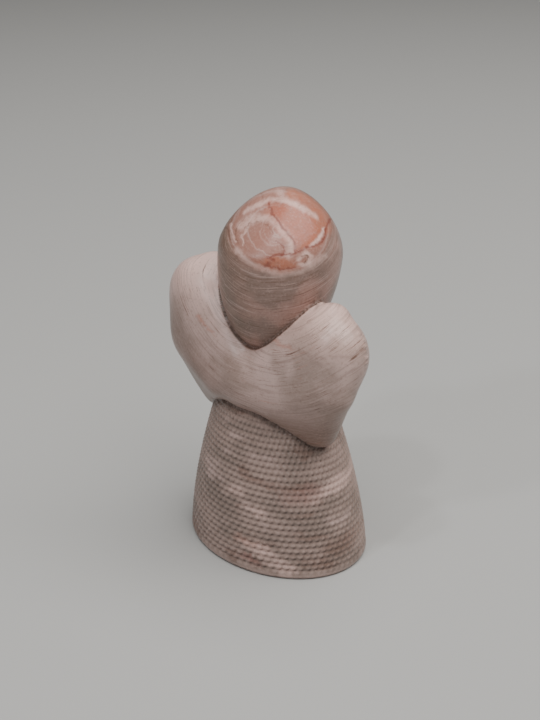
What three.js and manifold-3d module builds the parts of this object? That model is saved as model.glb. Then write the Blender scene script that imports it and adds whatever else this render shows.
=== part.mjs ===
// A small cast angel figurine for a grave or a tray: a flared knitted dress, an egg-shaped head of smooth
// hair with a plain face, and two plump drop-shaped wings that meet at the back in a heart. It was poured
// as one piece in a tinted casting compound, so the whole figure is one solid.
//
// Millimetres, +Z up. The origin is on the flat underside, on the dress's axis. The face looks along -Y,
// the wings are at the back, +Y. The figure is even about the plane X = 0, but for its wing tops: the one
// on the side of +X is a little higher, as it was poured.

import * as THREE from 'three';
import Module from 'manifold-3d';
import { mergeVertices } from 'three/addons/utils/BufferGeometryUtils.js';

// Dress
const DRESS_HEIGHT = 66; // from the underside to the collar
const HEM_WIDTH = 55; // across the hem, left to right
const HEM_DEPTH = 43.4; // across the hem, front to back
const COLLAR_WIDTH = 18.2;
const COLLAR_DEPTH = 15;
const COLLAR_SETBACK = 2.1; // how far the collar's middle is behind the hem's middle
const DRESS_SWELL = 1.54; // how bell-shaped the flare is; 1 is a straight cone
const HEM_ROUNDING = 1.1; // height of the smooth edge below the first row
const ROW_PITCH = 1.7; // height of one knitted row
const ROW_DEPTH = 0.36; // from a row's crest to the groove below it
const DRESS_SIDES = 40;

// Head: an egg of smooth hair, with a plain oval face let into its front
const HEAD_WIDTH = 32.9; // at the widest
const CROWN_RISE = 16.4; // from the widest level to the crown
const NAPE_DROP = 29; // from the widest level down to the egg's lower end, inside the dress
const HEAD_LIFT = 20.6; // from the collar up to the head's widest level
const HEAD_FORWARD = 0.7; // how far the head's middle is in front of the dress's axis
const HEAD_TILT = THREE.MathUtils.degToRad(9); // bowed forward
const PEAK_POWER = 1.68; // the crown's outline seen from the front; 2 is round, less is peaked
const BROW_POWER = 1.77; // the crown's outline towards the front
const NAPE_POWER = 1.28; // the crown's outline towards the back
const HEAD_SIDES = 30;

// Face
const FACE_WIDTH = 22;
const FACE_HEIGHT = 28;
const FACE_DEPTH = 20;
const FACE_DROP = 6; // from the head's widest level down to the middle of the face
const FACE_SETBACK = 1.4; // from the front of the hair back to the front of the face
const HAIR_FURROW = 1.2; // width of the furrow between the face and the hair

// Wings: plump drops, broad end up, that run together across the back. Their lower edge wraps the dress.
const WING_SPAN = 66.6; // over both wings
const WING_TOP = 80.3; // height of the wings' tops
const LOBE_WIDTH = 22.6; // the broad end of one wing, left to right
const LOBE_THICKNESS = 17.2; // the same, front to back
const LOBE_BACK = 14; // how far the broad end reaches behind the hem's middle
const LOBE_TOP = 79; // height of the broad end's top, where it is still full
const CREST_REACH = 20.5; // from the middle out to a wing's crest, its highest place
const CREST_WIDTH = 11;
const CREST_BACK = 3; // how far the crest's middle is behind the hem's middle
const LOBE_RISE = 1.7; // how much the wing on the side of +X is raised, and the other lowered
const NOTCH_LEVEL = 58; // height of the notch between the wings
const SPINE_FOOT = 46.2; // height of the wings' lower edge at the spine
const SPINE_BACK = 17; // how far the wings reach behind the hem's middle at the spine
const BELLY_LEVEL = 58.7; // a wing's lower half is fuller than a cone: this is its middle's height
const BELLY_WIDTH = 21.2;
const BELLY_THICKNESS = 14;
const BELLY_BACK = 2.7; // how far that fuller half is set back
const FOLD_BEARING = THREE.MathUtils.degToRad(38.6); // where the lower edge turns down
const FOLD_FOOT = 44.6; // height of the lower edge there
const FOLD_THICKNESS = 11;
const FOLD_PROUD = 5.4; // how far the wing stands out of the dress there
const TIP_BEARING = THREE.MathUtils.degToRad(79); // where a wing ends
const TIP_FOOT = 36; // height of a wing's lowest point
const TIP_THICKNESS = 6.6;
const TIP_PROUD = 4.2; // how far its tip stands out of the dress
const WING_SADDLE = 3.7; // how softly the two wings run together
const WING_EASING = 0.9; // how softly the planes of one wing run together
const WING_FACET = 2.7;

const wasm = await Module();
wasm.setup();

/** A closed geometry as a solid that can be joined and cut. */
function solidOf(geometry) {
  const bare = geometry.clone();
  bare.deleteAttribute('normal');
  bare.deleteAttribute('uv');
  const merged = mergeVertices(bare, 1e-4);
  return new wasm.Manifold(new wasm.Mesh({
    numProp: 3,
    vertProperties: merged.attributes.position.array,
    triVerts: new Uint32Array(merged.index.array),
  }));
}

/** A solid as a geometry. */
function geometryOf(solid) {
  const mesh = solid.getMesh();
  const geometry = new THREE.BufferGeometry();
  geometry.setAttribute('position', new THREE.BufferAttribute(new Float32Array(mesh.vertProperties), 3));
  geometry.setIndex(new THREE.BufferAttribute(new Uint32Array(mesh.triVerts), 1));
  geometry.computeVertexNormals();
  return geometry;
}

/** Moves each vertex of a geometry as a function says. */
function reshape(geometry, move) {
  const position = geometry.attributes.position;
  const point = new THREE.Vector3();
  for (let i = 0; i < position.count; i += 1) {
    move(point.fromBufferAttribute(position, i));
    position.setXYZ(i, point.x, point.y, point.z);
  }
  return geometry;
}

// Dress

/** How far the flare has opened at a height: 0 at the collar, 1 at the hem. */
function flareAt(height) {
  const share = THREE.MathUtils.clamp(height / DRESS_HEIGHT, 0, 1);
  return 1 - share ** DRESS_SWELL;
}

/** Half of the dress's width at a height. */
function halfWidthAt(height) {
  return (COLLAR_WIDTH + (HEM_WIDTH - COLLAR_WIDTH) * flareAt(height)) / 2;
}

/** Half of the dress's depth at a height. */
function halfDepthAt(height) {
  return (COLLAR_DEPTH + (HEM_DEPTH - COLLAR_DEPTH) * flareAt(height)) / 2;
}

/** How far the dress's middle is behind the hem's middle at a height. */
function setbackAt(height) {
  return (COLLAR_SETBACK * height) / DRESS_HEIGHT;
}

/** The flared dress, turned with its knitted rows as ribs and then pressed to its oval section. */
function dress() {
  const rows = Math.floor((DRESS_HEIGHT - HEM_ROUNDING) / ROW_PITCH);
  const profile = [new THREE.Vector2(0, 0), new THREE.Vector2(halfWidthAt(0) - HEM_ROUNDING, 0)];
  for (let row = 0; row < rows; row += 1) {
    const groove = HEM_ROUNDING + row * ROW_PITCH;
    const crest = groove + ROW_PITCH / 2;
    profile.push(new THREE.Vector2(halfWidthAt(groove) - ROW_DEPTH, groove));
    profile.push(new THREE.Vector2(halfWidthAt(crest), crest));
  }
  profile.push(new THREE.Vector2(halfWidthAt(DRESS_HEIGHT) - ROW_DEPTH, DRESS_HEIGHT));
  profile.push(new THREE.Vector2(0, DRESS_HEIGHT));
  const turned = new THREE.LatheGeometry(profile, DRESS_SIDES);
  turned.rotateX(Math.PI / 2);
  return solidOf(reshape(turned, (point) => {
    point.y *= halfDepthAt(point.z) / halfWidthAt(point.z);
    point.y += setbackAt(point.z);
  }));
}

// Head

/** Height of the head's widest level. */
const HEAD_LEVEL = DRESS_HEIGHT + HEAD_LIFT;

/** Tilts what is modelled around the head's middle, and lifts it into place. */
function setOnNeck(geometry) {
  geometry.rotateX(HEAD_TILT);
  geometry.translate(0, -HEAD_FORWARD, HEAD_LEVEL);
  return geometry;
}

/** The egg of hair: a sphere drawn out below, and above to a crown that is peaked seen from the front. */
function hair() {
  const radius = HEAD_WIDTH / 2;
  const ball = new THREE.SphereGeometry(1, HEAD_SIDES, HEAD_SIDES);
  ball.rotateX(Math.PI / 2);
  return solidOf(setOnNeck(reshape(ball, (point) => {
    const around = Math.hypot(point.x, point.y);
    let spread = 1;
    let height = point.z * NAPE_DROP;
    if (point.z > 0 && around > 0) {
      const sideways = (point.x / around) ** 2;
      const backwards = (1 + point.y / around) / 2;
      const lengthwise = THREE.MathUtils.lerp(BROW_POWER, NAPE_POWER, backwards);
      const power = THREE.MathUtils.lerp(lengthwise, PEAK_POWER, sideways);
      spread = around ** (2 / power - 1);
      height = CROWN_RISE * point.z ** (2 / power);
    }
    if (point.z > 0 && around === 0) height = CROWN_RISE;
    point.set(point.x * spread * radius, point.y * spread * radius, height);
  })));
}

/** An oval at the place of the face, grown on all sides by a margin. */
function faceOval(margin, forward) {
  const ball = new THREE.SphereGeometry(1, HEAD_SIDES, HEAD_SIDES / 2);
  ball.scale(FACE_WIDTH / 2 + margin, FACE_DEPTH / 2, FACE_HEIGHT / 2 + margin);
  ball.translate(0, forward, -FACE_DROP);
  return solidOf(setOnNeck(ball));
}

/** The whole head: hair, a dish cut into its front, and the plain face in the dish. */
function head() {
  const faceMiddle = -HEAD_WIDTH / 2 + FACE_SETBACK + FACE_DEPTH / 2;
  const dish = faceOval(HAIR_FURROW, -HEAD_WIDTH / 2 - FACE_SETBACK);
  return hair().subtract(dish).add(faceOval(0, faceMiddle));
}

// Wings

/** A point on the dress's skin, or out from it: bearings are turned from straight back towards +X. */
function onDress(bearing, height, proud) {
  const across = (halfWidthAt(height) + proud) * Math.sin(bearing);
  const behind = (halfDepthAt(height) + proud) * Math.cos(bearing) + setbackAt(height);
  return new THREE.Vector3(across, behind, height);
}

/** A ball that a wing is stretched over; flatness is its thickness as a share of its width. */
function ball(at, width, flatness = 1) {
  return { at, radius: width / 2, flatness };
}

/** The planes of a wing at +X, each the skin over three balls. Side is -1 for the one to mirror to -X. */
function wingPlanes(side) {
  const raised = side * LOBE_RISE;
  const lobeAt = new THREE.Vector3(
    (WING_SPAN - LOBE_WIDTH) / 2,
    LOBE_BACK - LOBE_THICKNESS / 2,
    LOBE_TOP - LOBE_WIDTH / 2 + raised,
  );
  const lobe = ball(lobeAt, LOBE_WIDTH, LOBE_THICKNESS / LOBE_WIDTH);
  const crestAt = new THREE.Vector3(CREST_REACH, CREST_BACK, WING_TOP - CREST_WIDTH / 2 + raised);
  const crest = ball(crestAt, CREST_WIDTH);
  const spineWidth = NOTCH_LEVEL - SPINE_FOOT;
  const spineFlatness = 0.6;
  const spine = ball(
    new THREE.Vector3(0, SPINE_BACK - (spineWidth * spineFlatness) / 2, (NOTCH_LEVEL + SPINE_FOOT) / 2),
    spineWidth,
    spineFlatness,
  );
  const foldAt = onDress(FOLD_BEARING, FOLD_FOOT + FOLD_THICKNESS / 2, FOLD_PROUD - FOLD_THICKNESS / 2);
  const fold = ball(foldAt, FOLD_THICKNESS);
  const tipAt = onDress(TIP_BEARING, TIP_FOOT + TIP_THICKNESS / 2, TIP_PROUD - TIP_THICKNESS / 2);
  const tip = ball(tipAt, TIP_THICKNESS);
  const down = (lobe.at.z - BELLY_LEVEL) / (lobe.at.z - tip.at.z);
  const belly = ball(lobe.at.clone().lerp(tip.at, down), BELLY_WIDTH, BELLY_THICKNESS / BELLY_WIDTH);
  belly.at.y += BELLY_BACK;
  const triples = [[lobe, crest, spine], [lobe, spine, fold], [lobe, fold, belly], [belly, fold, tip]];
  return triples.map((balls) => ({
    balls,
    triangle: new THREE.Triangle(...balls.map((one) => one.at)),
  }));
}

/** Distance from a point to the skin over three balls, negative inside. */
function distanceToPlane(point, { balls, triangle }) {
  const nearest = triangle.closestPointToPoint(point, new THREE.Vector3());
  const shares = triangle.getBarycoord(nearest, new THREE.Vector3()).toArray();
  const mixed = (name) => shares.reduce((sum, share, corner) => sum + share * balls[corner][name], 0);
  const off = point.clone().sub(nearest);
  return Math.hypot(off.x, off.y / mixed('flatness'), off.z) - mixed('radius');
}

/** The smaller of two distances, with the crease between them filled in. */
function runTogether(one, other, softness) {
  const near = Math.max(softness - Math.abs(one - other), 0);
  return Math.min(one, other) - near ** 2 / (4 * softness);
}

/** Both wings as a field, negative inside. Creases are eased by averaging over a small cube's corners. */
function wingField() {
  const sides = [1, -1].map((side) => ({ side, planes: wingPlanes(side) }));
  const both = (x, y, z) => {
    const [one, other] = sides.map(({ side, planes }) => {
      const point = new THREE.Vector3(side * x, y, z);
      return Math.min(...planes.map((plane) => distanceToPlane(point, plane)));
    });
    return runTogether(one, other, WING_SADDLE);
  };
  const offsets = [-WING_EASING, WING_EASING];
  return (x, y, z) => {
    let sum = 0;
    for (const dx of offsets) {
      for (const dy of offsets) {
        for (const dz of offsets) sum += both(x + dx, y + dy, z + dz);
      }
    }
    return sum / 8;
  };
}

/** The closed surface where a field crosses zero inside a box, as a net of facets of about one size. */
function skinOf(field, box, facet) {
  const size = box.getSize(new THREE.Vector3());
  const cells = size.toArray().map((length) => Math.ceil(length / facet));
  const nodes = cells.map((count) => count + 1);
  const nodeAt = (i, j, k) => (i * nodes[1] + j) * nodes[2] + k;
  const place = (i, j, k) => [box.min.x + i * facet, box.min.y + j * facet, box.min.z + k * facet];
  const values = new Float64Array(nodes[0] * nodes[1] * nodes[2]);
  for (let i = 0; i < nodes[0]; i += 1) {
    for (let j = 0; j < nodes[1]; j += 1) {
      for (let k = 0; k < nodes[2]; k += 1) values[nodeAt(i, j, k)] = field(...place(i, j, k));
    }
  }
  const corners = [0, 1, 2, 3, 4, 5, 6, 7].map((bits) => [bits & 1, (bits >> 1) & 1, bits >> 2]);
  const edges = corners.flatMap((from) => [0, 1, 2].filter((axis) => from[axis] === 0).map((axis) => {
    return [from, from.map((part, a) => (a === axis ? 1 : part))];
  }));

  /** The middle of the places where a cell's edges cross the surface, drawn onto it. */
  const middleOf = (i, j, k) => {
    const crossings = [];
    for (const [from, to] of edges) {
      const before = values[nodeAt(i + from[0], j + from[1], k + from[2])];
      const after = values[nodeAt(i + to[0], j + to[1], k + to[2])];
      if (before < 0 === after < 0) continue;
      const share = before / (before - after);
      crossings.push([0, 1, 2].map((axis) => THREE.MathUtils.lerp(from[axis], to[axis], share)));
    }
    const mean = [0, 1, 2].map((axis) => crossings.reduce((sum, c) => sum + c[axis], 0) / crossings.length);
    return towardSkin(field, new THREE.Vector3(...place(i + mean[0], j + mean[1], k + mean[2])), facet / 4);
  };

  const vertexOf = new Map();
  const points = [];
  const vertexIn = (i, j, k) => {
    const key = nodeAt(i, j, k);
    if (!vertexOf.has(key)) {
      vertexOf.set(key, points.length);
      points.push(middleOf(i, j, k));
    }
    return vertexOf.get(key);
  };
  const quads = [];
  for (let i = 1; i < cells[0]; i += 1) {
    for (let j = 1; j < cells[1]; j += 1) {
      for (let k = 1; k < cells[2]; k += 1) {
        const here = values[nodeAt(i, j, k)] < 0;
        const faces = [
          [values[nodeAt(i + 1, j, k)] < 0, [[i, j - 1, k - 1], [i, j, k - 1], [i, j, k], [i, j - 1, k]]],
          [values[nodeAt(i, j + 1, k)] < 0, [[i - 1, j, k - 1], [i - 1, j, k], [i, j, k], [i, j, k - 1]]],
          [values[nodeAt(i, j, k + 1)] < 0, [[i - 1, j - 1, k], [i, j - 1, k], [i, j, k], [i - 1, j, k]]],
        ];
        for (const [there, around] of faces) {
          if (here === there) continue;
          const quad = around.map((cell) => vertexIn(...cell));
          quads.push(here ? quad : quad.reverse());
        }
      }
    }
  }
  evenOut(points, quads, field, facet);
  const index = quads.flatMap((quad) => {
    const [a, b, c, d] = quad.map((vertex) => points[vertex]);
    const turned = a.distanceTo(c) < b.distanceTo(d) ? quad : [...quad.slice(1), quad[0]];
    return [turned[0], turned[1], turned[2], turned[0], turned[2], turned[3]];
  });
  return new THREE.BufferGeometry().setFromPoints(points).setIndex(index);
}

/** Draws a net's points a few times to the middle of their neighbours, along the surface. */
function evenOut(points, quads, field, facet) {
  const rounds = 4;
  for (let round = 0; round < rounds; round += 1) {
    const sums = points.map(() => ({ middle: new THREE.Vector3(), count: 0 }));
    for (const quad of quads) {
      quad.forEach((vertex, corner) => {
        sums[vertex].middle.add(points[quad[(corner + 1) % quad.length]]);
        sums[vertex].count += 1;
      });
    }
    sums.forEach(({ middle, count }, vertex) => {
      points[vertex].copy(towardSkin(field, middle.divideScalar(count), facet / 4));
    });
  }
}

/** A point moved along a field's slope towards the surface where the field is zero, at most a given way. */
function towardSkin(field, point, most) {
  const reach = 0.1;
  const { x, y, z } = point;
  const value = field(x, y, z);
  const slope = new THREE.Vector3(
    field(x + reach, y, z) - value,
    field(x, y + reach, z) - value,
    field(x, y, z + reach) - value,
  ).divideScalar(reach);
  const step = slope.multiplyScalar(-value / Math.max(slope.lengthSq(), 0.25)).clampLength(0, most);
  return step.add(point);
}

/** Both wings as one solid. */
function wings() {
  const margin = 2 * WING_FACET;
  const reach = WING_SPAN / 2 + margin;
  const box = new THREE.Box3(
    new THREE.Vector3(-reach, LOBE_BACK - LOBE_THICKNESS - margin, TIP_FOOT - margin),
    new THREE.Vector3(reach, Math.max(LOBE_BACK, SPINE_BACK) + margin, WING_TOP + LOBE_RISE + margin),
  );
  return solidOf(skinOf(wingField(), box, WING_FACET));
}

// The casting

const plaster = new THREE.MeshStandardMaterial({ color: 0xb39a90, roughness: 0.55, metalness: 0 });
const figurine = new THREE.Mesh(geometryOf(dress().add(wings()).add(head())), plaster);
figurine.name = 'angel_figurine';

const angel = new THREE.Group();
angel.add(figurine);

export default angel;
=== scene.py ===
"""A small cast angel figurine: a flared knitted dress, plump wings and a smooth egg-shaped head.

Everything is in metres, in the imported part's own frame: +Z up, the face along -Y, the wings at the back.
Only the material's places, and those of its pools and strokes, are in millimetres.
"""

import logging
import math
from collections.abc import Iterator
from contextlib import contextmanager
from dataclasses import dataclass
from enum import Enum

import bpy
import numpy as np
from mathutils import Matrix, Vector
from mathutils.kdtree import KDTree


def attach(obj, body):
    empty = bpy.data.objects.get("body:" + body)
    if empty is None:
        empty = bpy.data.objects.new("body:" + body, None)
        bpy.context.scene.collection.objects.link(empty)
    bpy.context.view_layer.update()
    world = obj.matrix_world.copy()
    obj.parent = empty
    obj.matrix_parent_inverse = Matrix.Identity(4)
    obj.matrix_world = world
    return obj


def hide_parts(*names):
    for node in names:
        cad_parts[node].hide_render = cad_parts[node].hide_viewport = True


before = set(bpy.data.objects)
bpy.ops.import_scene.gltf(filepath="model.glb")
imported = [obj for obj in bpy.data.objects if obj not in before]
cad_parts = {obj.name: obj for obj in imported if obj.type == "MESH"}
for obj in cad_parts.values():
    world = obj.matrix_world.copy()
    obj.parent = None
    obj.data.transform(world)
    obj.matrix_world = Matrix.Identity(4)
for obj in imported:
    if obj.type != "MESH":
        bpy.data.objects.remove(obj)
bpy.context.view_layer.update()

CAD_NODE = "angel_figurine"
LOG = logging.getLogger("angel")
MM = 0.001
MERGE = 0.01 * MM
SMOOTHING = 0.5

# The ways to the right of, and towards, someone who looks at the figurine from behind it and from its right.
RIGHT = np.array((-0.743, -0.669, 0.0))
BACK = np.array((-0.669, 0.743, 0.0))

# The middle of the pour on the crown, in millimetres, and the way that is up on it.
CROWN_MIDDLE = (-7.3, 7.9, 95.9)
CROWN_UP = (0.238, -0.264, 0.935)


def select_only(piece: bpy.types.Object) -> None:
    """Leaves one object selected and active.

    Args:
        piece: the object that the next operator acts on.
    """
    bpy.ops.object.select_all(action="DESELECT")
    piece.select_set(True)
    bpy.context.view_layer.objects.active = piece


@contextmanager
def editing(piece: bpy.types.Object) -> Iterator[None]:
    """Opens a piece in edit mode, with everything selected, and closes it again.

    Args:
        piece: the object to edit.

    Yields:
        Nothing.
    """
    select_only(piece)
    bpy.ops.object.mode_set(mode="EDIT")
    bpy.ops.mesh.select_all(action="SELECT")
    yield
    bpy.ops.object.mode_set(mode="OBJECT")


def apply_modifier(piece: bpy.types.Object, kind: str, **settings: object) -> None:
    """Adds a modifier to a piece and applies it.

    Args:
        piece: the object to change.
        kind: the modifier's type, such as "REMESH".
        settings: the modifier's own settings.
    """
    modifier = piece.modifiers.new(kind.title(), kind)
    for name, value in settings.items():
        setattr(modifier, name, value)
    select_only(piece)
    bpy.ops.object.modifier_apply(modifier=modifier.name)


def points_of(piece: bpy.types.Object) -> np.ndarray:
    """Reads a mesh's points.

    Args:
        piece: a mesh object.

    Returns:
        One row of x, y, z for each vertex.
    """
    flat = np.empty(len(piece.data.vertices) * 3)
    piece.data.vertices.foreach_get("co", flat)
    return flat.reshape(-1, 3)


def move_points(piece: bpy.types.Object, points: np.ndarray) -> None:
    """Writes a mesh's points back.

    Args:
        piece: a mesh object.
        points: one row of x, y, z for each vertex.
    """
    piece.data.vertices.foreach_set("co", points.ravel())
    piece.data.update()


def face_middles(piece: bpy.types.Object) -> np.ndarray:
    """Reads the middles of a mesh's faces.

    Args:
        piece: a mesh object.

    Returns:
        One row of x, y, z for each face.
    """
    middles = np.empty(len(piece.data.polygons) * 3)
    piece.data.polygons.foreach_get("center", middles)
    return middles.reshape(-1, 3)


def divide_faces(piece: bpy.types.Object, chosen: np.ndarray, cuts: int, roundness: float = 0.0) -> None:
    """Divides some of a mesh's faces.

    Args:
        piece: the object to change.
        chosen: for each face, whether it is divided.
        cuts: how many cuts each edge gets.
        roundness: how far the new points follow the curve of the old ones.
    """
    select_only(piece)
    bpy.ops.object.mode_set(mode="EDIT")
    bpy.ops.mesh.select_mode(type="FACE")
    bpy.ops.mesh.select_all(action="DESELECT")
    bpy.ops.object.mode_set(mode="OBJECT")
    piece.data.polygons.foreach_set("select", chosen)
    bpy.ops.object.mode_set(mode="EDIT")
    bpy.ops.mesh.subdivide(number_cuts=cuts, smoothness=roundness)
    bpy.ops.object.mode_set(mode="OBJECT")


def off_segment(points: np.ndarray, start: np.ndarray, end: np.ndarray) -> np.ndarray:
    """Measures how far points are from the straight line between two places.

    Args:
        points: one row of coordinates for each point.
        start: where the line starts.
        end: where it ends.

    Returns:
        The distance of each point.
    """
    along = end - start
    share = np.clip((points - start) @ along / (along @ along), 0.0, 1.0)
    return np.linalg.norm(points - start - share[:, None] * along, axis=1)


def smooth_step(low: float, high: float, value: np.ndarray) -> np.ndarray:
    """Rises smoothly from 0 at low to 1 at high, for each value."""
    share = np.clip((value - low) / (high - low), 0.0, 1.0)
    return share * share * (3.0 - 2.0 * share)


@dataclass(frozen=True)
class DressSizes:
    """The dress's form, as in the CAD part."""

    height: float = 66 * MM
    hem_width: float = 55 * MM
    hem_depth: float = 43.4 * MM
    collar_width: float = 18.2 * MM
    collar_depth: float = 15 * MM
    collar_setback: float = 2.1 * MM
    swell: float = 1.54
    hem_rounding: float = 1.1 * MM
    row_pitch: float = 1.7 * MM


@dataclass(frozen=True)
class StitchSizes:
    """The knitted stitches: plump beads in staggered rows, a little slanted.

    The reaches, the slant and the start over the hem are shares of a stitch's width or a row's height.
    """

    around: int = 76
    depth: float = 0.86 * MM
    start: float = 0.3
    reach_across: float = 0.59
    reach_up: float = 0.58
    slant: float = 0.3
    columns: int = 6
    rings: int = 4


@dataclass
class Dress:
    """The flared dress with its knitted rows; its top is out of sight inside the head."""

    sizes: DressSizes = DressSizes()
    stitch: StitchSizes = StitchSizes()
    top: float = 65 * MM

    def half_sizes(self, height: np.ndarray) -> tuple[np.ndarray, np.ndarray]:
        """Measures the dress's oval section.

        Args:
            height: heights over the underside.

        Returns:
            Half of the width and half of the depth at each height.
        """
        size = self.sizes
        flare = 1.0 - np.clip(height / size.height, 0.0, 1.0) ** size.swell
        across = size.collar_width + (size.hem_width - size.collar_width) * flare
        deep = size.collar_depth + (size.hem_depth - size.collar_depth) * flare
        return across / 2, deep / 2

    def setback(self, height: np.ndarray) -> np.ndarray:
        """Tells how far the section's middle is behind the hem's middle at each height."""
        return self.sizes.collar_setback * height / self.sizes.height

    def reach(self, points: np.ndarray) -> np.ndarray:
        """Measures how far points are from the dress's axis: 1 is on the crests of its stitches."""
        across, deep = self.half_sizes(points[:, 2])
        return np.hypot(points[:, 0] / across, (points[:, 1] - self.setback(points[:, 2])) / deep)

    def pit(self, points: np.ndarray) -> np.ndarray:
        """Tells how deep points on the dress lie between the stitches.

        Args:
            points: one row of x, y, z for each point.

        Returns:
            0 on the crest of a stitch, 1 in a pit.
        """
        across, deep = self.half_sizes(points[:, 2])
        behind = points[:, 1] - self.setback(points[:, 2])
        turn = np.arctan2(points[:, 0] / across, behind / deep)
        along, up = self.stitch_place(turn, points[:, 2])
        return smooth_step(0.0, self.stitch.start, up) * (1.0 - self.bead(along, up))

    def stitch_place(self, turn: np.ndarray, height: np.ndarray) -> tuple[np.ndarray, np.ndarray]:
        """Counts the stitches around to a turn, and the rows up to a height."""
        along = (turn / (2 * math.pi) + 0.5) * self.stitch.around
        return along, (height - self.sizes.hem_rounding) / self.sizes.row_pitch

    def bead(self, along: np.ndarray, up: np.ndarray) -> np.ndarray:
        """Works out how far the knit stands out.

        Args:
            along: place around the dress, counted in stitches.
            up: height over the first row's lower edge, counted in rows.

        Returns:
            1 on the crest of a stitch, 0 in the pits between stitches.
        """
        stitch = self.stitch
        highest = np.zeros_like(along)
        row = np.floor(up)
        for row_step in (-1, 0, 1):
            above = up - (row + row_step + 0.5)
            shift = 0.5 * np.mod(row + row_step, 2) - stitch.slant * above
            nearest = np.round(along - shift)
            for bead_step in (-1, 0, 1):
                beside = along - shift - nearest - bead_step
                away = (beside / stitch.reach_across) ** 2 + (above / stitch.reach_up) ** 2
                highest = np.maximum(highest, np.sqrt(np.clip(1.0 - away, 0.0, 1.0)))
        return highest

    def profile(self) -> list[tuple[float, float]]:
        """Lists the dress's rings, from the underside's edge to the top.

        Returns:
            Each ring's inset from the skin and its height.
        """
        size = self.sizes
        steps = 4
        corner = [index / steps * math.pi / 2 for index in range(steps)]
        rings = [(size.hem_rounding * (1 - math.sin(turn)), size.hem_rounding * (1 - math.cos(turn)))
                 for turn in corner]
        count = int((self.top - size.hem_rounding) / size.row_pitch) * self.stitch.rings
        rings += [(0.0, size.hem_rounding + index * size.row_pitch / self.stitch.rings)
                  for index in range(count)]
        return rings

    def build(self) -> bpy.types.Object:
        """Models the dress: a fine ball whose rings are drawn out into the flared, knitted form.

        Returns:
            The closed dress.
        """
        rings = self.profile()
        columns = self.stitch.around * self.stitch.columns
        bpy.ops.object.select_all(action="DESELECT")
        bpy.ops.mesh.primitive_uv_sphere_add(segments=columns, ring_count=len(rings) + 1, radius=1)
        piece = bpy.context.active_object
        piece.name = "dress"
        points = points_of(piece)
        turn = np.arctan2(points[:, 0], points[:, 1])
        ring = np.round(np.arccos(np.clip(-points[:, 2], -1, 1)) / math.pi * (len(rings) + 1)).astype(int)
        pole = (ring == 0) | (ring == len(rings) + 1)
        inset, height = np.array(rings)[np.clip(ring - 1, 0, len(rings) - 1)].T
        across, deep = self.half_sizes(height)
        along, up = self.stitch_place(turn, height)
        knitted = smooth_step(0.0, self.stitch.start, up)
        inset = inset + knitted * self.stitch.depth * (1.0 - self.bead(along, up))
        reach = np.where(pole, 0.0, 1.0)
        move_points(piece, np.column_stack((
            reach * (across - inset) * np.sin(turn),
            reach * (deep - inset) * np.cos(turn) + self.setback(height),
            height,
        )))
        with editing(piece):
            bpy.ops.mesh.normals_make_consistent(inside=False)
        LOG.info("dress: %d stitches around, %d faces", self.stitch.around, len(piece.data.polygons))
        return piece


@dataclass(frozen=True)
class HeadSizes:
    """The head's form, as in the CAD part."""

    width: float = 32.9 * MM
    crown_rise: float = 16.4 * MM
    nape_drop: float = 29 * MM
    level: float = 86.6 * MM
    forward: float = 0.7 * MM
    tilt: float = math.radians(9)
    peak_power: float = 1.68
    brow_power: float = 1.77
    nape_power: float = 1.28
    face_width: float = 22 * MM
    face_height: float = 28 * MM
    face_depth: float = 20 * MM
    face_drop: float = 6 * MM
    face_setback: float = 1.4 * MM
    furrow: float = 1.2 * MM


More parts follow.
